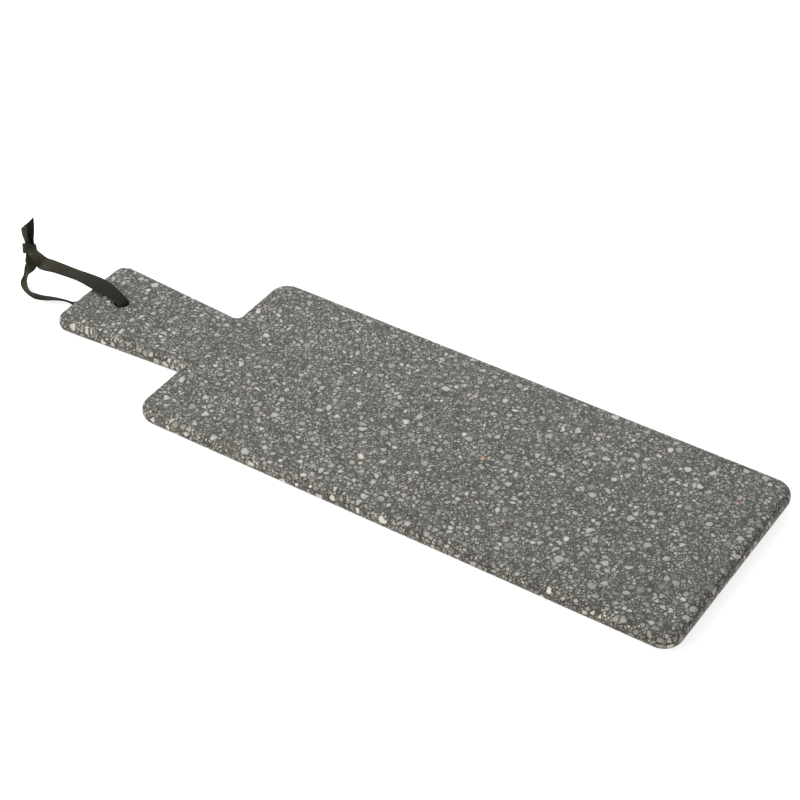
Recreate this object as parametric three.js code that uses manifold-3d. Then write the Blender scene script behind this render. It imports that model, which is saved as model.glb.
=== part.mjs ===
// Terrazzo serving board with a paddle handle and a knotted leather hanging strap.
// Sizes are in millimetres, +Z is up. The origin is on the table, under the middle of
// the board's length and width. The handle points along -X.
import * as THREE from 'three';
import Module from 'manifold-3d';
import { mergeVertices } from 'three/addons/utils/BufferGeometryUtils.js';

// Stone board
const BOARD_LENGTH = 450;
const BOARD_WIDTH = 150;
const BOARD_THICKNESS = 10;
const BOARD_CORNER_RADIUS = 12;
const EDGE_ROUNDING = 4.2;
const HANDLE_LENGTH = 95;
const HANDLE_ROOT_WIDTH = 56;
const HANDLE_END_WIDTH = 69;
const HANDLE_CORNER_RADIUS = 8;
const SHOULDER_RADIUS = 3;

// Strap hole in the handle
const HOLE_DIAMETER = 9;
const HOLE_FROM_HANDLE_END = 26.5;
const HOLE_RIM_ROUNDING = 0.8;

// Rubber feet stuck to the underside
const FOOT_HEIGHT = 3;
const FOOT_DIAMETER = 10;
const FOOT_SOLE_DIAMETER = 8;
const FOOT_INSET = 22;

// Leather strap
const STRAP_WIDTH = 11;
const STRAP_THICKNESS = 1.2;
const STRAP_GATHER = 0.75;
const FRONT_TAIL_SLANT = 1;
const BACK_TAIL_SLANT = 0.75;
const TOUCH_GAP = 0.3;

// Knot that joins the two runs of the strap
const KNOT_PAST_HANDLE = 51.4;
const KNOT_ASIDE = 7;
const KNOT_ABOVE_TOP = 8;
const KNOT_HEIGHT = 7;
const KNOT_WIDTH = 5;
const KNOT_ROUNDING = 1.6;

// Smoothness of the round stretches
const CORNER_STEPS = 8;
const EDGE_STEPS = 4;
const ROUND_STEPS = 32;
const KNOT_STEPS = 2;
const RUN_STEPS = 48;
const TAIL_STEPS = 8;
const STRAP_STEPS_ACROSS = 6;

const handleEndX = -BOARD_LENGTH / 2;
const shoulderX = handleEndX + HANDLE_LENGTH;
const holeX = handleEndX + HOLE_FROM_HANDLE_END;

const wasm = await Module();
wasm.setup();

function toSolid(geometry) {
  const bare = geometry.clone();
  bare.deleteAttribute('normal');
  bare.deleteAttribute('uv');
  const merged = mergeVertices(bare, 1e-4);
  const vertProperties = new Float32Array(merged.attributes.position.array);
  const triVerts = new Uint32Array(merged.index.array);
  return new wasm.Manifold(new wasm.Mesh({ numProp: 3, vertProperties, triVerts }));
}

function toGeometry(solid) {
  const mesh = solid.getMesh();
  const geometry = new THREE.BufferGeometry();
  geometry.setAttribute('position', new THREE.Float32BufferAttribute(mesh.vertProperties, 3));
  geometry.setIndex(Array.from(mesh.triVerts));
  geometry.computeVertexNormals();
  return geometry;
}

// Closed outline through the given corners, counter-clockwise, each corner an arc.
function roundedOutline(corners) {
  const shape = new THREE.Shape();
  corners.forEach((corner, i) => {
    const before = corners[(i + corners.length - 1) % corners.length].at;
    const after = corners[(i + 1) % corners.length].at;
    const toBefore = before.clone().sub(corner.at).normalize();
    const toAfter = after.clone().sub(corner.at).normalize();
    const halfAngle = Math.acos(toBefore.dot(toAfter)) / 2;
    const turnsLeft = toBefore.cross(toAfter) < 0;
    const start = corner.at.clone().addScaledVector(toBefore, corner.radius / Math.tan(halfAngle));
    const middle = toBefore.clone().add(toAfter).normalize();
    const centre = corner.at.clone().addScaledVector(middle, corner.radius / Math.sin(halfAngle));
    const startAngle = start.clone().sub(centre).angle();
    const sweep = (Math.PI - 2 * halfAngle) * (turnsLeft ? 1 : -1);
    shape.absarc(centre.x, centre.y, corner.radius, startAngle, startAngle + sweep, !turnsLeft);
  });
  shape.closePath();
  return shape;
}

function corner(x, y, radius) {
  return { at: new THREE.Vector2(x, y), radius };
}

// One slab of terrazzo: a rectangle with a handle that widens towards its end, all its
// edges rounded over, and one drilled hole with an eased rim.
function boardGeometry() {
  const endX = BOARD_LENGTH / 2;
  const side = BOARD_WIDTH / 2;
  const root = HANDLE_ROOT_WIDTH / 2;
  const end = HANDLE_END_WIDTH / 2;
  const outline = roundedOutline([
    corner(shoulderX, -side, BOARD_CORNER_RADIUS),
    corner(endX, -side, BOARD_CORNER_RADIUS),
    corner(endX, side, BOARD_CORNER_RADIUS),
    corner(shoulderX, side, BOARD_CORNER_RADIUS),
    corner(shoulderX, root, SHOULDER_RADIUS),
    corner(handleEndX, end, HANDLE_CORNER_RADIUS),
    corner(handleEndX, -end, HANDLE_CORNER_RADIUS),
    corner(shoulderX, -root, SHOULDER_RADIUS),
  ]);
  const slab = new THREE.ExtrudeGeometry(outline, {
    depth: BOARD_THICKNESS - 2 * EDGE_ROUNDING,
    curveSegments: CORNER_STEPS,
    bevelThickness: EDGE_ROUNDING,
    bevelSize: EDGE_ROUNDING,
    bevelOffset: -EDGE_ROUNDING,
    bevelSegments: EDGE_STEPS,
  });
  slab.translate(0, 0, EDGE_ROUNDING);
  const drill = drillGeometry();
  drill.translate(holeX, 0, 0);
  const board = toGeometry(toSolid(slab).subtract(toSolid(drill)));
  board.translate(0, 0, FOOT_HEIGHT);
  return board;
}

// The drill follows the hole and flares at both faces by the rim's rounding.
function drillGeometry() {
  const radius = HOLE_DIAMETER / 2;
  const rim = HOLE_RIM_ROUNDING;
  const profile = [new THREE.Vector2(0, -rim)];
  for (let i = 0; i <= EDGE_STEPS; i += 1) {
    const angle = (i / EDGE_STEPS) * Math.PI / 2;
    profile.push(new THREE.Vector2(radius + rim * (1 - Math.sin(angle)), rim * (1 - Math.cos(angle))));
  }
  profile[1].y = -rim;
  const upper = profile.map((p) => new THREE.Vector2(p.x, BOARD_THICKNESS - p.y)).reverse();
  const drill = new THREE.LatheGeometry([...profile, ...upper], ROUND_STEPS);
  drill.rotateX(Math.PI / 2);
  return drill;
}

// A moulded rubber button, wider at the glued face than at its sole.
function footGeometry() {
  const wall = FOOT_DIAMETER / 2;
  const sole = FOOT_SOLE_DIAMETER / 2;
  const ease = wall - sole;
  const profile = [new THREE.Vector2(0, 0)];
  for (let i = 0; i <= EDGE_STEPS; i += 1) {
    const angle = (i / EDGE_STEPS) * Math.PI / 2;
    profile.push(new THREE.Vector2(sole + ease * Math.sin(angle), ease * (1 - Math.cos(angle))));
  }
  profile.push(new THREE.Vector2(wall, FOOT_HEIGHT - TOUCH_GAP));
  profile.push(new THREE.Vector2(0, FOOT_HEIGHT - TOUCH_GAP));
  const foot = new THREE.LatheGeometry(profile, ROUND_STEPS);
  foot.rotateX(Math.PI / 2);
  return foot;
}

// A point of the strap's route, from the hole's axis at table height: where the middle of
// the leather lies, the direction across its width, how tightly it is cupped (1/mm), and
// the share of its width that is left where the leather is gathered.
function lay(x, y, z, acrossX, acrossY, acrossZ, cup, share = 1) {
  return {
    at: new THREE.Vector3(x, y, z),
    across: new THREE.Vector3(acrossX, acrossY, acrossZ),
    form: new THREE.Vector3(cup, share, 0),
  };
}

function smoothLine(points) {
  return new THREE.CatmullRomCurve3(points, false, 'catmullrom');
}

// A flat strip of leather laid along its route. The strip starts as a straight box, x along
// it, y across it and z through it. The far end may be cut on a slant.
function stripGeometry(route, steps, slant = 0) {
  const strip = new THREE.BoxGeometry(1, STRAP_WIDTH, STRAP_THICKNESS, steps, STRAP_STEPS_ACROSS, 1);
  const path = smoothLine(route.map((p) => p.at));
  const widths = smoothLine(route.map((p) => p.across));
  const forms = smoothLine(route.map((p) => p.form));
  const places = strip.attributes.position;
  for (let i = 0; i < places.count; i += 1) {
    const along = places.getX(i) + 0.5;
    const depth = places.getZ(i);
    const forward = path.getTangent(along);
    const side = widths.getPoint(along);
    side.addScaledVector(forward, -side.dot(forward)).normalize();
    const face = forward.clone().cross(side);
    const form = forms.getPoint(along);
    const cup = Math.max(form.x, 1e-6);
    const across = places.getY(i) * form.y;
    const turn = across * cup;
    const place = path.getPoint(along);
    place.addScaledVector(side, Math.sin(turn) / cup - depth * Math.sin(turn));
    place.addScaledVector(face, (1 - Math.cos(turn)) / cup + depth * Math.cos(turn));
    place.addScaledVector(forward, slant * across * along);
    places.setXYZ(i, place.x, place.y, place.z);
  }
  strip.computeVertexNormals();
  return strip;
}

// The gathered leather inside the knot, an upright block with rounded rims. The last turn
// of the upper run goes round it.
function knotGeometry() {
  const round = new THREE.Shape();
  round.absarc(0, 0, KNOT_WIDTH / 2, 0, 2 * Math.PI);
  const knot = new THREE.ExtrudeGeometry(round, {
    depth: KNOT_HEIGHT - 2 * KNOT_ROUNDING,
    curveSegments: ROUND_STEPS / 2,
    bevelThickness: KNOT_ROUNDING,
    bevelSize: KNOT_ROUNDING,
    bevelOffset: -KNOT_ROUNDING,
    bevelSegments: KNOT_STEPS,
  });
  knot.translate(knotX, KNOT_ASIDE, boardTop + KNOT_ABOVE_TOP + KNOT_ROUNDING - KNOT_HEIGHT / 2);
  return knot;
}

// Heights and distances that the strap's route is tied to, from the hole's axis.
const boardTop = FOOT_HEIGHT + BOARD_THICKNESS;
const holeMiddle = FOOT_HEIGHT + BOARD_THICKNESS / 2;
const onTable = TOUCH_GAP + STRAP_THICKNESS / 2;
const handleEnd = -HOLE_FROM_HANDLE_END;
const wallReach = HOLE_DIAMETER / 2 - TOUCH_GAP - STRAP_THICKNESS / 2;
const wallCup = 1 / wallReach;
const wallX = 0.86 * wallReach;
const wallY = -0.51 * wallReach;
const knotX = handleEnd - KNOT_PAST_HANDLE;
const turnZ = boardTop + KNOT_ABOVE_TOP;

// From the middle of the hole up and over the handle, then up and half round the knot.
const upperRoute = [
  lay(wallX, wallY, holeMiddle + TOUCH_GAP / 2, 0.51, 0.86, 0, wallCup, STRAP_GATHER),
  lay(wallX, wallY, boardTop - 1.5, 0.51, 0.86, 0, wallCup, STRAP_GATHER),
  lay(wallX - 0.3, wallY + 0.3, boardTop + 0.8, 0.48, 0.87, 0.05, 0.24, 0.74),
  lay(1, -0.6, boardTop + 2.3, 0.3, 0.94, 0.15, 0.19, 0.7),
  lay(-3, 0.4, boardTop + 3.2, 0.14, 1, 0.22, 0.15, 0.7),
  lay(-9, 1.9, boardTop + 3.3, 0.15, 1, 0.24, 0.08, 0.78),
  lay(-16.5, 3.8, boardTop + 3, 0.2, 1, 0.25, 0.04, 0.9),
  lay(handleEnd + 0.5, 5.4, boardTop + 2.2, 0.1, 1, 0.05, 0.015),
  lay(handleEnd - 8.5, 6.2, boardTop + 1.7, 0.05, 1, -0.1, 0.01),
  lay(handleEnd - 18.5, 6.7, boardTop + 0.7, 0.03, 1, -0.13, 0.01),
  lay(handleEnd - 29.5, 7, boardTop - 0.1, 0.02, 1, -0.06, 0.02),
  lay(handleEnd - 38.5, 7, boardTop - 0.8, 0, 1, 0.1, 0.05),
  lay(knotX + 8.4, 6.6, boardTop - 0.2, -0.1, 1, 0.1, 0.08, 0.95),
  lay(knotX + 6.5, 5, turnZ - 3, -0.5, 0.84, 0.1, 0.08, 0.8),
  lay(knotX + 4.2, 3.4, turnZ + 0.9, -0.3, 0.6, 0.7, 0.08, 0.6),
  lay(knotX + 1, 2, turnZ + 2.6, -0.05, 0.05, 1, 0.05, 0.54),
  lay(knotX - 2.8, 3, turnZ - 0.3, 0.1, 0, 1, 0.13, 0.58),
  lay(knotX - 4.9, 6.6, turnZ - 2.8, 0.1, 0, 1, 0.14, 0.56),
  lay(knotX - 3.4, 10.5, turnZ - 3.4, 0, 0, 1, 0.14, 0.58),
];

// From the middle of the hole down, under the handle, along the table and up to the knot.
const lowerRoute = [
  lay(wallX, wallY, holeMiddle - TOUCH_GAP / 2, -0.51, -0.86, 0, wallCup, STRAP_GATHER),
  lay(wallX, wallY, FOOT_HEIGHT + 1.8, -0.51, -0.86, 0, wallCup, STRAP_GATHER),
  lay(wallX - 1.2, wallY + 0.5, FOOT_HEIGHT - 1.1, -0.35, -0.93, 0, 0.2, 0.72),
  lay(-1.2, -0.6, onTable + 0.1, -0.1, -1, 0, 0.08, 0.8),
  lay(-7, -0.8, onTable, 0, -1, 0, 0.01, 0.95),
  lay(-14.5, -1.8, onTable, 0.1, -1, 0, 0),
  lay(-21.5, -3.5, onTable, 0.2, -1, 0.03, 0),
  lay(handleEnd - 1.5, -5.5, onTable + 0.5, 0.3, -1, 0.12, 0),
  lay(handleEnd - 7.6, -8.2, 4.3, 0.3, -0.72, 0.63, 0),
  lay(handleEnd - 14.7, -9.8, 4.4, 0.22, -0.76, 0.6, 0),
  lay(handleEnd - 22.8, -12, 3.6, 0.21, -0.86, 0.46, 0),
  lay(handleEnd - 29.9, -14.7, 3.8, 0.12, -0.87, 0.48, 0),
  lay(handleEnd - 37, -14.8, 5.2, -0.02, -0.7, 0.71, 0),
  lay(handleEnd - 43.4, -10.6, 5.6, 0.1, -0.48, 0.87, 0),
  lay(handleEnd - 45.9, -6.8, boardTop - 5.1, 0.31, -0.37, 0.88, 0),
  lay(knotX + 2.8, -2.2, boardTop - 3.8, 0.2, -0.42, 0.88, 0, 0.9),
  lay(knotX + 2.8, 1.8, boardTop - 2.2, -0.3, -0.55, 0.76, 0, 0.85),
  lay(knotX + 1.8, 5.2, boardTop + 2, -0.65, -0.5, 0.5, 0, 0.75),
];

// The two loose ends, which leave the top of the knot one behind the other.
const tailFoot = turnZ + KNOT_HEIGHT / 2 + TOUCH_GAP;
const frontTailRoute = [
  lay(knotX - 1.2, 5.5, tailFoot, 0.98, -0.17, 0, 0.06, 0.5),
  lay(knotX - 1.9, 4.9, tailFoot + 5, 0.94, -0.34, 0, 0.06, 0.68),
  lay(knotX - 1.7, 4.8, tailFoot + 12.5, 0.94, -0.34, 0, 0.05, 0.8),
];
const backTailRoute = [
  lay(knotX - 0.6, 7.6, tailFoot, 1, 0, 0, 0.16, 0.5),
  lay(knotX - 2.4, 9.5, tailFoot + 4.7, 0.8, 0.6, 0, 0.18, 0.6),
  lay(knotX - 3.4, 11.3, tailFoot + 11.2, 0.62, 0.78, 0, 0.18, 0.6),
];

const model = new THREE.Group();

function addPart(parent, name, geometry, material) {
  const mesh = new THREE.Mesh(geometry, material);
  mesh.name = name;
  parent.add(mesh);
  return mesh;
}

function terrazzo() {
  return new THREE.MeshStandardMaterial({ color: 0x76766f, roughness: 0.5, metalness: 0 });
}

function leather() {
  return new THREE.MeshStandardMaterial({ color: 0x3c3a32, roughness: 0.7, metalness: 0 });
}

function rubber() {
  return new THREE.MeshStandardMaterial({ color: 0x2a2a2a, roughness: 0.8, metalness: 0 });
}

addPart(model, 'board', boardGeometry(), terrazzo());

const footX = { handle: shoulderX + FOOT_INSET, end: BOARD_LENGTH / 2 - FOOT_INSET };
const footY = { near: FOOT_INSET - BOARD_WIDTH / 2, far: BOARD_WIDTH / 2 - FOOT_INSET };
for (const [endName, x] of Object.entries(footX)) {
  for (const [sideName, y] of Object.entries(footY)) {
    const foot = addPart(model, `foot_${endName}_${sideName}`, footGeometry(), rubber());
    foot.position.set(x, y, 0);
  }
}

const strap = new THREE.Group();
strap.position.set(holeX, 0, 0);
model.add(strap);
addPart(strap, 'strap_upper_run', stripGeometry(upperRoute, RUN_STEPS), leather());
addPart(strap, 'strap_lower_run', stripGeometry(lowerRoute, RUN_STEPS), leather());
addPart(strap, 'strap_knot', knotGeometry(), leather());
addPart(strap, 'strap_tail_front', stripGeometry(frontTailRoute, TAIL_STEPS, FRONT_TAIL_SLANT), leather());
addPart(strap, 'strap_tail_back', stripGeometry(backTailRoute, TAIL_STEPS, BACK_TAIL_SLANT), leather());

export default model;
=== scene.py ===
import math

import bmesh
import bpy
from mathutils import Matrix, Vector


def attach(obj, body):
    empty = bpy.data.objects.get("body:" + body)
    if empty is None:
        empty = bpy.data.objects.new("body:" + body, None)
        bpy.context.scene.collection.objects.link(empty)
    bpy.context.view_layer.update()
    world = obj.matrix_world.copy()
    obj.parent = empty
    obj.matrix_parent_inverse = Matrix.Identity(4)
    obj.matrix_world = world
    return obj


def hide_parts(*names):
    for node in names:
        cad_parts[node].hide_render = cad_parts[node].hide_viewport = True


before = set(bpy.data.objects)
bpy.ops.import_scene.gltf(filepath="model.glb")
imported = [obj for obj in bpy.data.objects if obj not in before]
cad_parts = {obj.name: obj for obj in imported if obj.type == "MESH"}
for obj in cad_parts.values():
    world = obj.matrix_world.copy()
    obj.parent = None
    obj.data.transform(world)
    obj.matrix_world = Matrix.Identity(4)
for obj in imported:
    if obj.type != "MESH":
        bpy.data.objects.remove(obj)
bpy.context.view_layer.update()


# The slab: one piece of dark cement with marble chips of many sizes in it, cast, then
# ground flat and honed. The handle is part of it, every edge is rounded over, and one hole
# is drilled through the handle for the strap.
slab_underside = 0.003
slab_top = 0.013
slab_edge_round = 0.0042
slab_flat_lip = 0.0006  # narrow flat band beside the rounding, so that it shades clean
strap_hole_x = -0.1985
strap_hole_radius = 0.0045
strap_hole_ease = 0.0008
strap_hole_lip = 0.0004
slab_corners = [  # x, y, corner radius, counter-clockwise
    (-0.130, -0.075, 0.012),
    (0.225, -0.075, 0.012),
    (0.225, 0.075, 0.012),
    (-0.130, 0.075, 0.012),
    (-0.130, 0.028, 0.003),
    (-0.225, 0.0345, 0.008),
    (-0.225, -0.0345, 0.008),
    (-0.130, -0.028, 0.003),
]


def slab_ring(inset, z, steps=14):
    """Points once round the slab's outline, drawn in from it by inset, at height z."""
    points = []
    for i, (x, y, radius) in enumerate(slab_corners):
        corner = Vector((x, y))
        to_before = (Vector(slab_corners[i - 1][:2]) - corner).normalized()
        to_after = (Vector(slab_corners[(i + 1) % len(slab_corners)][:2]) - corner).normalized()
        half_angle = math.acos(to_before.dot(to_after)) / 2
        outward = to_before.x * to_after.y - to_before.y * to_after.x < 0
        centre = corner + (to_before + to_after).normalized() * (radius / math.sin(half_angle))
        start = corner + to_before * (radius / math.tan(half_angle)) - centre
        first = math.atan2(start.y, start.x)
        sweep = (math.pi - 2 * half_angle) * (1 if outward else -1)
        reach = radius - inset if outward else radius + inset
        for k in range(steps + 1):
            angle = first + sweep * k / steps
            points.append((
                centre.x + reach * math.cos(angle), centre.y + reach * math.sin(angle), z))
    return points


def hole_ring(radius, z, steps=64):
    """Points once round the strap hole."""
    angles = [2 * math.pi * k / steps for k in range(steps)]
    return [(strap_hole_x + radius * math.cos(a), radius * math.sin(a), z) for a in angles]


def join_rings(body, rings):
    """Quads between each ring of vertices and the next."""
    for lower, upper in zip(rings, rings[1:]):
        for k in range(len(lower)):
            n = (k + 1) % len(lower)
            body.faces.new((lower[k], lower[n], upper[n], upper[k]))


def close_face(body, *rings):
    """A flat face inside the first ring, with the other rings left open."""
    edges = [body.edges.get((ring[k - 1], ring[k])) for ring in rings for k in range(len(ring))]
    bmesh.ops.triangle_fill(body, use_beauty=True, use_dissolve=False, edges=edges)


def mesh_piece(name, body, material):
    """A named piece from finished mesh code, shaded smooth apart from its many-sided end faces."""
    bmesh.ops.recalc_face_normals(body, faces=body.faces)
    for face in body.faces:
        face.smooth = len(face.verts) < 5
    mesh = bpy.data.meshes.new(name)
    body.to_mesh(mesh)
    body.free()
    mesh.materials.append(material)
    piece = bpy.data.objects.new(name, mesh)
    bpy.context.scene.collection.objects.link(piece)
    return piece


def add_node(tree, kind, inputs=None, **settings):
    """One node with its settings, its inputs linked to sockets or set to values."""
    made = tree.nodes.new(kind)
    for name, value in settings.items():
        setattr(made, name, value)
    for socket, value in (inputs or {}).items():
        if isinstance(value, bpy.types.NodeSocket):
            tree.links.new(value, made.inputs[socket])
        else:
            made.inputs[socket].default_value = value
    return made


def add_math(tree, operation, first, second):
    return add_node(tree, "ShaderNodeMath", {0: first, 1: second}, operation=operation).outputs[0]


def add_vector(tree, operation, inputs):
    return add_node(tree, "ShaderNodeVectorMath", inputs, operation=operation).outputs[0]


def add_mix(tree, blend, amount, below, above):
    inputs = {0: amount, 6: below, 7: above}
    return add_node(tree, "ShaderNodeMix", inputs, data_type="RGBA", blend_type=blend).outputs[2]


def add_range(tree, value, low, high, out_low, out_high):
    """The value, moved from the range low to high to the range out_low to out_high."""
    ends = {"From Min": low, "From Max": high, "To Min": out_low, "To Max": out_high}
    return add_node(tree, "ShaderNodeMapRange", {"Value": value, **ends}).outputs["Result"]


def add_ramp(tree, value, stops):
    """A colour ramp through (place, colour) stops."""
    made = add_node(tree, "ShaderNodeValToRGB", {"Fac": value})
    steps = made.color_ramp.elements
    while len(steps) < len(stops):
        steps.new(0.5)
    for step, (place, colour) in zip(steps, stops):
        step.position = place
        step.color = (*colour, 1)
    return made.outputs["Color"]


def new_group(name, inputs, outputs):
    """An empty shader node group: inputs are (name, kind, value), outputs are names of values."""
    group = bpy.data.node_groups.new(name, "ShaderNodeTree")
    for label, kind, value in inputs:
        socket = group.interface.new_socket(label, in_out="INPUT", socket_type=kind)
        if value is not None:
            socket.default_value = value
    for label in outputs:
        group.interface.new_socket(label, in_out="OUTPUT", socket_type="NodeSocketFloat")
    comes_in = group.nodes.new("NodeGroupInput").outputs
    goes_out = group.nodes.new("NodeGroupOutput").inputs
    return group, comes_in, goes_out


def place_group(tree, group, inputs):
    return add_node(tree, "ShaderNodeGroup", inputs, node_tree=group).outputs


# mottle: a soft blotchy value round 1, for colour and roughness that wander
mottle, given, result = new_group("mottle", [
    ("Place", "NodeSocketVector", None),
    ("Size", "NodeSocketFloat", 0.01),
    ("Depth", "NodeSocketFloat", 0.2),
], ["Value"])
fineness = add_math(mottle, "DIVIDE", 1.0, given["Size"])
cloud = add_node(mottle, "ShaderNodeTexNoise", {
    "Vector": given["Place"], "Scale": fineness, "Detail": 4.0, "Roughness": 0.6}).outputs["Fac"]
swing = add_math(mottle, "MULTIPLY", add_math(mottle, "SUBTRACT", cloud, 0.5), given["Depth"])
round_one = add_math(mottle, "ADD", add_math(mottle, "MULTIPLY", swing, 2.0), 1.0)
mottle.links.new(round_one, result["Value"])

# stone chips: one grade of worn marble chips, each with its own random reach and tone
chip_gap = 0.105  # cement left between a chip and its neighbour's cell, in cells
chip_wear = 0.07  # how far a chip's corners are worn round
chip_bend = 0.55  # how far the cells are bent out of line
stone_chips, given, result = new_group("stone_chips", [
    ("Place", "NodeSocketVector", None),
    ("Size", "NodeSocketFloat", 0.005),
    ("Share", "NodeSocketFloat", 0.5),
    ("Least reach", "NodeSocketFloat", 0.35),
    ("Most reach", "NodeSocketFloat", 0.65),
], ["Chip", "Rim", "Dome", "Tone"])
fineness = add_math(stone_chips, "DIVIDE", 1.0, given["Size"])
ragged = add_node(stone_chips, "ShaderNodeTexNoise", {
    "Vector": given["Place"],
    "Scale": add_math(stone_chips, "MULTIPLY", fineness, 1.3),
    "Detail": 1.0,
}).outputs["Color"]
offset = add_vector(stone_chips, "SUBTRACT", {0: ragged, 1: (0.5, 0.5, 0.5)})
bend = add_math(stone_chips, "MULTIPLY", given["Size"], chip_bend)
offset = add_vector(stone_chips, "SCALE", {0: offset, "Scale": bend})
bent = add_vector(stone_chips, "ADD", {0: given["Place"], 1: offset})
cells = {"Vector": bent, "Scale": fineness}
lump = add_node(stone_chips, "ShaderNodeTexVoronoi", cells, feature="F1").outputs
wall = add_node(stone_chips, "ShaderNodeTexVoronoi", cells, feature="DISTANCE_TO_EDGE").outputs
chance = add_node(stone_chips, "ShaderNodeSeparateColor", {"Color": lump["Color"]}).outputs
reach = add_range(
    stone_chips, chance["Blue"], 0.0, 1.0, given["Least reach"], given["Most reach"])
inside = add_node(stone_chips, "ShaderNodeMath", {
    0: add_math(stone_chips, "SUBTRACT", wall["Distance"], chip_gap),
    1: add_math(stone_chips, "SUBTRACT", reach, lump["Distance"]),
    2: chip_wear,
}, operation="SMOOTH_MIN").outputs[0]
kept = add_math(stone_chips, "LESS_THAN", chance["Red"], given["Share"])
chip_mask = add_range(stone_chips, inside, 0.0, 0.05, 0.0, 1.0)
rim_mask = add_range(stone_chips, inside, -0.13, -0.05, 0.0, 1.0)
stone_chips.links.new(add_math(stone_chips, "MULTIPLY", chip_mask, kept), result["Chip"])
stone_chips.links.new(add_math(stone_chips, "MULTIPLY", rim_mask, kept), result["Rim"])
# Dome: painted shading, 0 at a chip's rim rising to 1 in its middle, as if the chip were domed
stone_chips.links.new(add_range(stone_chips, inside, 0.0, 0.22, 0.0, 1.0), result["Dome"])
stone_chips.links.new(chance["Green"], result["Tone"])

cement_tones = [
    (0.30, (0.028, 0.027, 0.022)), (0.52, (0.070, 0.068, 0.057)), (0.72, (0.140, 0.136, 0.116))]
rim_colour = (0.020, 0.019, 0.016, 1)
pit_painted_shade = (0.012, 0.011, 0.010, 1)
side_warmth = (1.36, 1.28, 1.24, 1)
# cell size, share of the cells that hold a chip on the flats and on the sides, least and
# most reach of a chip, tones from dark to light (in two grades the rarest chips are warm)
chip_sizes = [
    (0.0019, 1.00, 1.00, 0.85, 1.10, [
        (0.0, (0.106, 0.104, 0.087)), (0.35, (0.196, 0.193, 0.165)), (0.7, (0.272, 0.268, 0.233)),
        (0.93, (0.365, 0.359, 0.318)), (1.0, (0.500, 0.488, 0.435))]),
    (0.0028, 0.42, 0.42, 0.45, 0.85, [
        (0.0, (0.105, 0.103, 0.087)), (0.4, (0.222, 0.219, 0.190)), (0.8, (0.330, 0.325, 0.288)),
        (0.95, (0.455, 0.447, 0.402)), (0.985, (0.570, 0.556, 0.503)),
        (1.0, (0.460, 0.290, 0.190))]),
    (0.0044, 0.45, 0.70, 0.41, 0.68, [
        (0.0, (0.165, 0.163, 0.143)), (0.5, (0.305, 0.301, 0.268)), (0.85, (0.412, 0.405, 0.365)),
        (0.965, (0.500, 0.489, 0.440)), (1.0, (0.610, 0.530, 0.440))]),
    (0.0062, 0.05, 0.18, 0.36, 0.50, [
        (0.0, (0.210, 0.208, 0.186)), (0.6, (0.340, 0.334, 0.299)), (1.0, (0.480, 0.466, 0.415))]),
]
terrazzo = bpy.data.materials.new("honed_terrazzo")
terrazzo.use_nodes = True
tree = terrazzo.node_tree
stone = tree.nodes["Principled BSDF"]
stone.inputs["Specular IOR Level"].default_value = 0.42
place = add_node(tree, "ShaderNodeTexCoord").outputs["Object"]
facing = add_node(tree, "ShaderNodeNewGeometry").outputs["Normal"]
facing_up = add_node(tree, "ShaderNodeSeparateXYZ", {0: facing}).outputs["Z"]
side_face = add_range(tree, add_math(tree, "ABSOLUTE", facing_up, 0.0), 0.7, 0.985, 1.0, 0.0)
sand = add_node(tree, "ShaderNodeTexNoise", {
    "Vector": place, "Scale": 900.0, "Detail": 3.0, "Roughness": 0.7}).outputs["Fac"]
colour = add_ramp(tree, sand, cement_tones)
chips_all = None
for size, flat_share, side_share, least, most, tones in chip_sizes:
    share = add_range(tree, side_face, 0.0, 1.0, flat_share, side_share)
    chips = place_group(tree, stone_chips, {
        "Place": place, "Size": size, "Share": share, "Least reach": least, "Most reach": most})
    rim = add_math(tree, "MULTIPLY", chips["Rim"], 0.8)
    colour = add_mix(tree, "MIX", rim, colour, rim_colour)
    # painted shading: each chip darker at its rim and lighter in its middle, as if domed
    painted_chip_shading = add_range(tree, chips["Dome"], 0.0, 1.0, 0.75, 1.12)
    tone = add_mix(tree, "MULTIPLY", 1.0, add_ramp(tree, chips["Tone"], tones), painted_chip_shading)
    colour = add_mix(tree, "MIX", chips["Chip"], colour, tone)
    if chips_all is None:
        chips_all = chips["Chip"]
    else:
        chips_all = add_math(tree, "MAXIMUM", chips_all, chips["Chip"])
grit = place_group(tree, mottle, {"Place": place, "Size": 0.0009, "Depth": 0.5})["Value"]
blotch = place_group(tree, mottle, {"Place": place, "Size": 0.012, "Depth": 0.38})["Value"]
colour = add_mix(tree, "MULTIPLY", 1.0, colour, add_math(tree, "MULTIPLY", grit, blotch))
# Pits: small holes, sunk in the bump and painted near black inside: painted shade in them.
pit = add_node(
    tree, "ShaderNodeTexVoronoi", {"Vector": place, "Scale": 250.0}, feature="F1").outputs
pit_chance = add_node(tree, "ShaderNodeSeparateColor", {"Color": pit["Color"]}).outputs["Red"]
pit_share = add_range(tree, side_face, 0.0, 1.0, 0.03, 0.30)
pit_kept = add_math(tree, "LESS_THAN", pit_chance, pit_share)
pit_hole = add_range(tree, pit["Distance"], 0.12, 0.22, 1.0, 0.0)
pit_hole = add_math(tree, "MULTIPLY", pit_hole, pit_kept)
colour = add_mix(tree, "MIX", add_math(tree, "MULTIPLY", pit_hole, 0.85), colour, pit_painted_shade)
deep_tones = add_node(tree, "ShaderNodeGamma", {"Color": colour, "Gamma": 1.12}).outputs[0]
rough_side = add_mix(tree, "MULTIPLY", 1.0, deep_tones, side_warmth)
colour = add_mix(tree, "MIX", side_face, colour, rough_side)
tree.links.new(colour, stone.inputs["Base Color"])
honing = place_group(tree, mottle, {"Place": place, "Size": 0.03, "Depth": 0.15})["Value"]
dull = add_math(tree, "MULTIPLY", add_range(tree, chips_all, 0.0, 1.0, 0.50, 0.42), honing)
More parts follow.
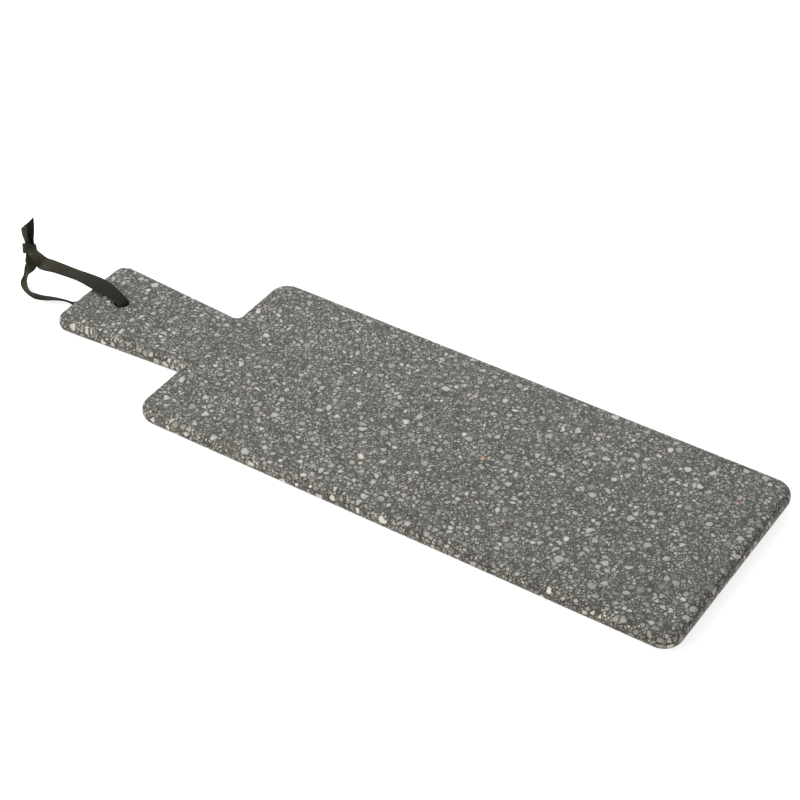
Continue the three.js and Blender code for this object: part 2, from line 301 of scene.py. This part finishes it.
dull = add_math(tree, "ADD", dull, add_math(tree, "MULTIPLY", side_face, 0.12))
tree.links.new(dull, stone.inputs["Roughness"])
relief = add_math(tree, "SUBTRACT", add_math(tree, "MULTIPLY", chips_all, 0.35), pit_hole)
grit_height = add_math(tree, "MULTIPLY", grit, add_range(tree, side_face, 0.0, 1.0, 0.15, 0.6))
relief = add_math(tree, "ADD", relief, grit_height)
stone_bump = add_node(tree, "ShaderNodeBump", {
    "Height": relief, "Strength": 0.35, "Distance": 0.0002})
tree.links.new(stone_bump.outputs["Normal"], stone.inputs["Normal"])

slab_body = bmesh.new()
round_steps = 10
quarter_turn = [math.pi / 2 * k / round_steps for k in range(round_steps + 1)]
slab_profile = [(slab_edge_round + slab_flat_lip, slab_underside)]  # inset, height
hole_profile = [(strap_hole_radius + strap_hole_ease + strap_hole_lip, slab_top)]  # radius, height
for a in quarter_turn:
    drawn_in, lifted = 1 - math.sin(a), 1 - math.cos(a)
    slab_profile.append((slab_edge_round * drawn_in, slab_underside + slab_edge_round * lifted))
    hole_profile.append((
        strap_hole_radius + strap_hole_ease * drawn_in, slab_top - strap_hole_ease * lifted))
for a in quarter_turn:
    drawn_in, lowered = 1 - math.cos(a), 1 - math.sin(a)
    slab_profile.append((slab_edge_round * drawn_in, slab_top - slab_edge_round * lowered))
    hole_profile.append((
        strap_hole_radius + strap_hole_ease * drawn_in, slab_underside + strap_hole_ease * lowered))
slab_profile.append((slab_edge_round + slab_flat_lip, slab_top))
hole_profile.append((strap_hole_radius + strap_hole_ease + strap_hole_lip, slab_underside))
slab_rings = [[slab_body.verts.new(p) for p in slab_ring(inset, z)] for inset, z in slab_profile]
hole_rings = [[slab_body.verts.new(p) for p in hole_ring(radius, z)] for radius, z in hole_profile]
join_rings(slab_body, slab_rings)
join_rings(slab_body, hole_rings)
close_face(slab_body, slab_rings[-1], hole_rings[0])
close_face(slab_body, slab_rings[0], hole_rings[-1])
slab = mesh_piece("terrazzo_slab", slab_body, terrazzo)
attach(slab, "board")
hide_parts("board")


# The feet: four small moulded rubber buttons, stuck under the slab near its corners so
# that it doesn't slide or scratch the table. Their shape is the CAD model's own.
rubber_black = (0.022, 0.022, 0.021, 1)
rubber = bpy.data.materials.new("foot_rubber")
rubber.use_nodes = True
tree = rubber.node_tree
button = tree.nodes["Principled BSDF"]
place = add_node(tree, "ShaderNodeTexCoord").outputs["Object"]
dust = place_group(tree, mottle, {"Place": place, "Size": 0.002, "Depth": 0.4})["Value"]
tree.links.new(
    add_mix(tree, "MULTIPLY", 1.0, rubber_black, dust), button.inputs["Base Color"])
tree.links.new(add_math(tree, "MULTIPLY", dust, 0.72), button.inputs["Roughness"])
moulding = add_node(tree, "ShaderNodeTexNoise", {
    "Vector": place, "Scale": 4000.0, "Detail": 2.0}).outputs["Fac"]
rubber_bump = add_node(tree, "ShaderNodeBump", {
    "Height": moulding, "Strength": 0.3, "Distance": 0.0001})
tree.links.new(rubber_bump.outputs["Normal"], button.inputs["Normal"])
for foot_name in ("foot_handle_near", "foot_handle_far", "foot_end_near", "foot_end_far"):
    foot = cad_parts[foot_name]
    foot.data.materials.clear()
    foot.data.materials.append(rubber)


# The strap's upper run: a flat strip of dark tanned leather with cut edges. It comes up
# through the hole against its wall, lies over the handle, and takes half a turn round the
# knot beyond the handle's end.
strap_width = 0.011
strap_thickness = 0.0012
strap_edge_round = 0.0005
nearly_flat = 0.001  # cupping that stands for none, so that nothing is divided by zero
route_step = 0.0001  # share of the route, ahead and behind, from which its direction is taken


def on_line(points, share):
    """The smooth line through the points, share 0 at the first and 1 at the last."""
    last = len(points) - 1
    i = min(int(share * last), last - 1)
    w = share * last - i
    p1, p2 = points[i], points[i + 1]
    p0 = points[i - 1] if i > 0 else 2 * p1 - p2
    p3 = points[i + 2] if i + 2 <= last else 2 * p2 - p1
    bow = (2 * p0 - 5 * p1 + 4 * p2 - p3) * w * w
    twist = (3 * p1 - p0 - 3 * p2 + p3) * w * w * w
    return 0.5 * (2 * p1 + (p2 - p0) * w + bow + twist)


def strap_section(flat_steps=10, edge_steps=6):
    """Once round the strip's cross-section: distance from its middle, height, cut edge or not."""
    flat = strap_width / 2 - strap_edge_round
    half = strap_thickness / 2
    over = [(-flat + 2 * flat * k / flat_steps, half, 0.0) for k in range(flat_steps + 1)]
    edge = []
    for a in (math.pi * k / edge_steps for k in range(1, edge_steps)):
        edge.append((flat + strap_edge_round * math.sin(a), half * math.cos(a), 1.0))
    return over + edge + [(-y, -z, cut) for y, z, cut in over + edge]


def strap_strip(name, route, steps, slant=0.0):
    """A strip laid along a route of (x, y, z, across x, y, z, cupping, share of the width)."""
    middles = [Vector(point[0:3]) for point in route]
    widths = [Vector(point[3:6]) for point in route]
    forms = [Vector((point[6], point[7], 0)) for point in route]
    body = bmesh.new()
    cut_edge = body.verts.layers.float.new("cut_edge")
    rings, centres = [], []
    for i in range(steps + 1):
        share = i / steps
        middle = on_line(middles, share)
        ahead = on_line(middles, min(share + route_step, 1))
        behind = on_line(middles, max(share - route_step, 0))
        forward = (ahead - behind).normalized()
        side = on_line(widths, share)
        side = (side - forward * side.dot(forward)).normalized()
        face = forward.cross(side)
        cupping = max(on_line(forms, share).x, nearly_flat)
        gather = on_line(forms, share).y
        ring = []
        for y, height, cut in strap_section():
            across = y * gather
            turn = across * cupping
            spot = middle + side * (math.sin(turn) / cupping - height * math.sin(turn))
            lift = face * ((1 - math.cos(turn)) / cupping + height * math.cos(turn))
            spot += lift + forward * (slant * across * share)
            vertex = body.verts.new(spot)
            vertex[cut_edge] = cut
            ring.append(vertex)
        rings.append(ring)
        centres.append(tuple(middle))
    join_rings(body, rings)
    body.faces.new(rings[0][::-1])
    body.faces.new(rings[-1])
    return mesh_piece(name, body, leather), centres


# The leather is painted darker where the upper run turns down into the hole: painted shade.
# The lower run is darker along the table. Both runs are painted paler towards the knot:
# painted light on its lit shoulder and in its shade. The knot and the loose ends are darkest
# and browner: the leather's browner grain side, with painted shade over it.
leather_dark = (0.0190, 0.0175, 0.0124, 1)
leather_pale = (0.0500, 0.0466, 0.0328, 1)
# tint for the knot: the leather's browner grain side, and painted shade
knot_brown_shade_tint = (0.26, 0.238, 0.272, 1)
cut_edge_brown = (0.034, 0.030, 0.021, 1)
leather = bpy.data.materials.new("dark_strap_leather")
leather.use_nodes = True
tree = leather.node_tree
hide = tree.nodes["Principled BSDF"]
hide.inputs["Specular IOR Level"].default_value = 0.10
place = add_node(tree, "ShaderNodeTexCoord").outputs["Object"]
wear = place_group(tree, mottle, {"Place": place, "Size": 0.007, "Depth": 0.5})["Value"]
pores = add_node(tree, "ShaderNodeTexVoronoi", {
    "Vector": place, "Scale": 1500.0}, feature="DISTANCE_TO_EDGE").outputs["Distance"]
grain = add_range(tree, pores, 0.0, 0.28, 0.0, 1.0)
tan = add_mix(tree, "MIX", grain, leather_dark, leather_pale)
where = add_node(tree, "ShaderNodeSeparateXYZ", {0: place}).outputs
# painted light: the upper run paler towards the knot, on the knot's lit shoulder and in its shade
painted_light_by_knot = add_range(tree, where["X"], -0.267, -0.256, 2.2, 1.0)
# painted shade: the upper run darker where it turns down into the hole
painted_shade_by_hole = add_range(tree, where["X"], -0.242, -0.210, 1.0, 0.57)
upper_painted_light_shade = add_math(tree, "MULTIPLY", painted_light_by_knot, painted_shade_by_hole)
# the lower run, where it lies low: darker along the table, painted light where it comes up in the
# knot's shade
on_table = add_range(tree, where["Z"], 0.0085, 0.0105, 1.0, 0.0)
lower_painted_light_shade = add_range(tree, where["X"], -0.264, -0.255, 2.6, 0.52)
change = add_math(tree, "SUBTRACT", lower_painted_light_shade, upper_painted_light_shade)
run_painted_light_shade = add_math(tree, "ADD", upper_painted_light_shade, add_math(tree, "MULTIPLY", on_table, change))
tan = add_mix(tree, "MULTIPLY", 1.0, tan, add_math(tree, "MULTIPLY", wear, run_painted_light_shade))
# the knot and the loose ends: the browner grain side, with painted shade over it
in_knot = add_range(tree, where["X"], -0.2742, -0.2712, 1.0, 0.0)
above_run = add_range(tree, where["Z"], 0.0165, 0.0195, 0.0, 1.0)
less_in_ends = add_range(tree, where["Z"], 0.024, 0.028, 1.0, 0.9)
knot_brown_and_shade = add_math(tree, "MULTIPLY", in_knot, above_run)
knot_brown_and_shade = add_math(tree, "MULTIPLY", knot_brown_and_shade, less_in_ends)
tan = add_mix(tree, "MULTIPLY", knot_brown_and_shade, tan, knot_brown_shade_tint)
raw_edge = add_node(tree, "ShaderNodeAttribute", attribute_name="cut_edge").outputs["Fac"]
tan = add_mix(tree, "MIX", add_math(tree, "MULTIPLY", raw_edge, 0.6), tan, cut_edge_brown)
tree.links.new(tan, hide.inputs["Base Color"])
polish = add_math(tree, "MULTIPLY", wear, add_range(tree, grain, 0.0, 1.0, 0.86, 0.70))
polish = add_math(tree, "ADD", polish, add_math(tree, "MULTIPLY", raw_edge, 0.2))
tree.links.new(polish, hide.inputs["Roughness"])
fibres = add_node(tree, "ShaderNodeTexNoise", {
    "Vector": place, "Scale": 3200.0, "Detail": 3.0}).outputs["Fac"]
fibres = add_math(tree, "MULTIPLY", fibres, 0.5)
creases = add_math(tree, "ADD", add_math(tree, "MULTIPLY", grain, 0.7), fibres)
leather_bump = add_node(tree, "ShaderNodeBump", {
    "Height": creases, "Strength": 0.45, "Distance": 0.00015})
tree.links.new(leather_bump.outputs["Normal"], hide.inputs["Normal"])

upper_route = [
    (-0.19540, -0.00184, 0.00815, 0.51, 0.86, 0.00, 278, 0.75),
    (-0.19540, -0.00184, 0.01150, 0.51, 0.86, 0.00, 278, 0.75),
    (-0.19570, -0.00154, 0.01380, 0.48, 0.87, 0.05, 240, 0.74),
    (-0.19750, -0.00060, 0.01530, 0.30, 0.94, 0.15, 190, 0.70),
    (-0.20150, 0.00040, 0.01620, 0.14, 1.00, 0.22, 150, 0.70),
    (-0.20750, 0.00190, 0.01630, 0.15, 1.00, 0.24, 80, 0.78),
    (-0.21500, 0.00380, 0.01600, 0.20, 1.00, 0.25, 40, 0.90),
    (-0.22450, 0.00540, 0.01520, 0.10, 1.00, 0.05, 15, 1.00),
    (-0.23350, 0.00620, 0.01470, 0.05, 1.00, -0.10, 10, 1.00),
    (-0.24350, 0.00670, 0.01370, 0.03, 1.00, -0.13, 10, 1.00),
    (-0.25450, 0.00700, 0.01290, 0.02, 1.00, -0.06, 20, 1.00),
    (-0.26350, 0.00700, 0.01220, 0.00, 1.00, 0.10, 50, 1.00),
    (-0.26800, 0.00660, 0.01280, -0.10, 1.00, 0.10, 80, 0.95),
    (-0.26990, 0.00500, 0.01800, -0.50, 0.84, 0.10, 80, 0.80),
    (-0.27220, 0.00340, 0.02190, -0.30, 0.60, 0.70, 80, 0.60),
    (-0.27540, 0.00200, 0.02360, -0.05, 0.05, 1.00, 50, 0.54),
    (-0.27920, 0.00300, 0.02070, 0.10, 0.00, 1.00, 130, 0.58),
    (-0.28130, 0.00660, 0.01820, 0.10, 0.00, 1.00, 140, 0.56),
    (-0.27980, 0.01050, 0.01760, 0.00, 0.00, 1.00, 140, 0.58),
]
upper_run, upper_line = strap_strip("strap_upper", upper_route, steps=220)
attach(upper_run, "strap")
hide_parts("strap_upper_run")


# The knot's inside: from its half turn the strap goes on round the back of the knot and in
# a spiral to its middle, gathered narrower and pulled tight. The lower run's end comes up
# through it.
knot_middle = Vector((-0.2764, 0.0070, 0.0210))
knot_cupping = 60
knot_gather = 0.58
millimetre = 0.001
turns_route = []
for angle, reach, rise in (  # degrees round the knot, millimetres out and up from its middle
    (134, 4.9, -3.4), (100, 4.4, -4.0), (60, 3.3, -4.8), (25, 2.6, -4.8), (-10, 2.4, -3.8),
    (-45, 2.4, -2.4), (-85, 2.3, -1.2), (-130, 2.2, -0.4), (-175, 2.05, -0.4), (-220, 1.9, -0.8),
    (-265, 1.75, -0.8), (-310, 1.6, -0.6), (-355, 1.45, -0.4), (-400, 1.25, -0.2),
    (-445, 1.0, -0.2),
):
    out = Vector((math.cos(math.radians(angle)), math.sin(math.radians(angle)), 0))
    turn_at = knot_middle + millimetre * (out * reach + Vector((0, 0, rise)))
    turns_route.append((*turn_at, 0.0, 0.0, 1.0, knot_cupping, knot_gather))
rise_route = [
    (-0.27460, 0.00520, 0.01500, -0.65, -0.50, 0.50, 0, 0.75),
    (-0.27540, 0.00560, 0.01750, -0.80, -0.40, 0.30, 20, 0.66),
    (-0.27620, 0.00570, 0.02000, -0.95, -0.10, 0.10, 40, 0.56),
    (-0.27690, 0.00570, 0.02240, -0.98, 0.17, 0.00, 60, 0.50),
]
knot_turns = strap_strip("strap_knot_turns", turns_route, steps=200)[0]
knot_rise = strap_strip("strap_knot_rise", rise_route, steps=40)[0]
for knot_piece in (knot_turns, knot_rise):
    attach(knot_piece, "strap")
    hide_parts("strap_knot")


# The loose ends: what is left of the strap's two ends above the knot. They stand up one
# behind the other, spread out again above the knot, and are cut off on a slant.
front_end_route = [
    (-0.27690, 0.00570, 0.02000, 0.98, -0.17, 0.00, 60, 0.46),
    (-0.27760, 0.00550, 0.02480, 0.98, -0.17, 0.00, 60, 0.50),
    (-0.27830, 0.00490, 0.02980, 0.94, -0.34, 0.00, 60, 0.68),
    (-0.27810, 0.00480, 0.03730, 0.94, -0.34, 0.00, 50, 0.80),
]
back_end_route = [
    (-0.27650, 0.00740, 0.02000, 1.00, 0.00, 0.00, 160, 0.46),
    (-0.27700, 0.00760, 0.02480, 1.00, 0.00, 0.00, 160, 0.50),
    (-0.27880, 0.00950, 0.02950, 0.80, 0.60, 0.00, 180, 0.60),
    (-0.27980, 0.01130, 0.03600, 0.62, 0.78, 0.00, 180, 0.60),
]
front_end = strap_strip("strap_end_front", front_end_route, steps=40, slant=1.0)[0]
back_end = strap_strip("strap_end_back", back_end_route, steps=40, slant=0.75)[0]
for loose_end, node in ((front_end, "strap_tail_front"), (back_end, "strap_tail_back")):
    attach(loose_end, "strap")
    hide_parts(node)


# The strap's lower run: the same strip of leather, down through the hole, under the handle,
# in a loose curve over the table and up on its edge into the knot, which closes the loop.
lower_route = [
    (-0.19540, -0.00184, 0.00785, -0.51, -0.86, 0.00, 278, 0.75),
    (-0.19540, -0.00184, 0.00480, -0.51, -0.86, 0.00, 278, 0.75),
    (-0.19660, -0.00134, 0.00190, -0.35, -0.93, 0.00, 200, 0.72),
    (-0.19970, -0.00060, 0.00100, -0.10, -1.00, 0.00, 80, 0.80),
    (-0.20550, -0.00080, 0.00090, 0.00, -1.00, 0.00, 10, 0.95),
    (-0.21300, -0.00180, 0.00090, 0.10, -1.00, 0.00, 0, 1.00),
    (-0.22000, -0.00350, 0.00090, 0.20, -1.00, 0.03, 0, 1.00),
    (-0.22650, -0.00550, 0.00140, 0.30, -1.00, 0.12, 0, 1.00),
    (-0.23260, -0.00820, 0.00430, 0.30, -0.72, 0.63, 0, 1.00),
    (-0.23970, -0.00980, 0.00440, 0.22, -0.76, 0.60, 0, 1.00),
    (-0.24780, -0.01200, 0.00360, 0.21, -0.86, 0.46, 0, 1.00),
    (-0.25490, -0.01470, 0.00380, 0.12, -0.87, 0.48, 0, 1.00),
    (-0.26200, -0.01480, 0.00520, -0.02, -0.70, 0.71, 0, 1.00),
    (-0.26840, -0.01060, 0.00560, 0.10, -0.48, 0.87, 0, 1.00),
    (-0.27090, -0.00680, 0.00790, 0.31, -0.37, 0.88, 0, 1.00),
    (-0.27360, -0.00220, 0.00920, 0.20, -0.42, 0.88, 0, 0.90),
    (-0.27360, 0.00180, 0.01080, -0.30, -0.55, 0.76, 0, 0.85),
    (-0.27460, 0.00520, 0.01500, -0.65, -0.50, 0.50, 0, 0.75),
]
lower_run, lower_line = strap_strip("strap_lower", lower_route, steps=220)
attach(lower_run, "strap")
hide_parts("strap_lower_run")


# The set: a white table that runs out of the picture, the photograph's camera, and soft
# light from large panels on the left, overhead, in front and behind, with white walls
# round them.
table_reach = 4.0
table_height = -0.0001  # just under the feet
table_glow = 0.70  # only as it is seen or mirrored, so that it shows white but casts no light
wall_light = 0.42  # the walls as light cast on things
wall_seen = 1.0  # the walls as they are seen or mirrored


def is_seen(tree):
    """1 for what is seen, straight, mirrored or through glass, and 0 for light cast on things."""
    ray = add_node(tree, "ShaderNodeLightPath").outputs
    seen = add_math(tree, "MAXIMUM", ray["Is Camera Ray"], ray["Is Glossy Ray"])
    return add_math(tree, "MAXIMUM", seen, ray["Is Transmission Ray"])


table_body = bmesh.new()
bmesh.ops.create_grid(table_body, x_segments=8, y_segments=8, size=table_reach)
for vertex in table_body.verts:
    vertex.co.z = table_height
table_white = bpy.data.materials.new("white_table")
table_white.use_nodes = True
tree = table_white.node_tree
table_paint = tree.nodes["Principled BSDF"]
table_paint.inputs["Base Color"].default_value = (0.8, 0.8, 0.8, 1)
table_paint.inputs["Roughness"].default_value = 0.9
table_paint.inputs["Specular IOR Level"].default_value = 0.1
table_paint.inputs["Emission Color"].default_value = (1, 1, 1, 1)
glow = add_math(tree, "MULTIPLY", is_seen(tree), table_glow)
tree.links.new(glow, table_paint.inputs["Emission Strength"])
table = mesh_piece("table", table_body, table_white)

camera_data = bpy.data.cameras.new("photo_camera")
camera_data.sensor_width = 36.0
camera_data.lens = 101.73
camera = bpy.data.objects.new("photo_camera", camera_data)
camera.location = (0.55703, -0.84148, 0.85333)
looks_at = Vector((-0.00936, 0.02502, 0.00300))
camera.rotation_euler = (looks_at - camera.location).to_track_quat("-Z", "Y").to_euler()
bpy.context.scene.collection.objects.link(camera)
bpy.context.scene.camera = camera

room = bpy.data.worlds.new("white_room")
bpy.context.scene.world = room
room.use_nodes = True
tree = room.node_tree
walls = tree.nodes["Background"]
walls.inputs["Color"].default_value = (1, 1, 1, 1)
wall_strength = add_range(tree, is_seen(tree), 0.0, 1.0, wall_light, wall_seen)
tree.links.new(wall_strength, walls.inputs["Strength"])

for panel_name, panel_at, panel_size, panel_watts in (
    ("panel_overhead_left", (-1.0, -0.2, 1.4), 1.2, 11.4),
    ("panel_front_left", (-0.75, -1.3, 0.75), 1.0, 17.0),
    ("panel_behind", (-0.6, 1.4, 0.8), 1.2, 6.0),
):
    panel = bpy.data.lights.new(panel_name, "AREA")
    panel.size = panel_size
    panel.energy = panel_watts
    lamp = bpy.data.objects.new(panel_name, panel)
    lamp.location = panel_at
    to_middle = Vector((0, 0, 0)) - lamp.location
    lamp.rotation_euler = to_middle.to_track_quat("-Z", "Y").to_euler()
    bpy.context.scene.collection.objects.link(lamp)

bpy.context.scene.view_settings.view_transform = "Standard"
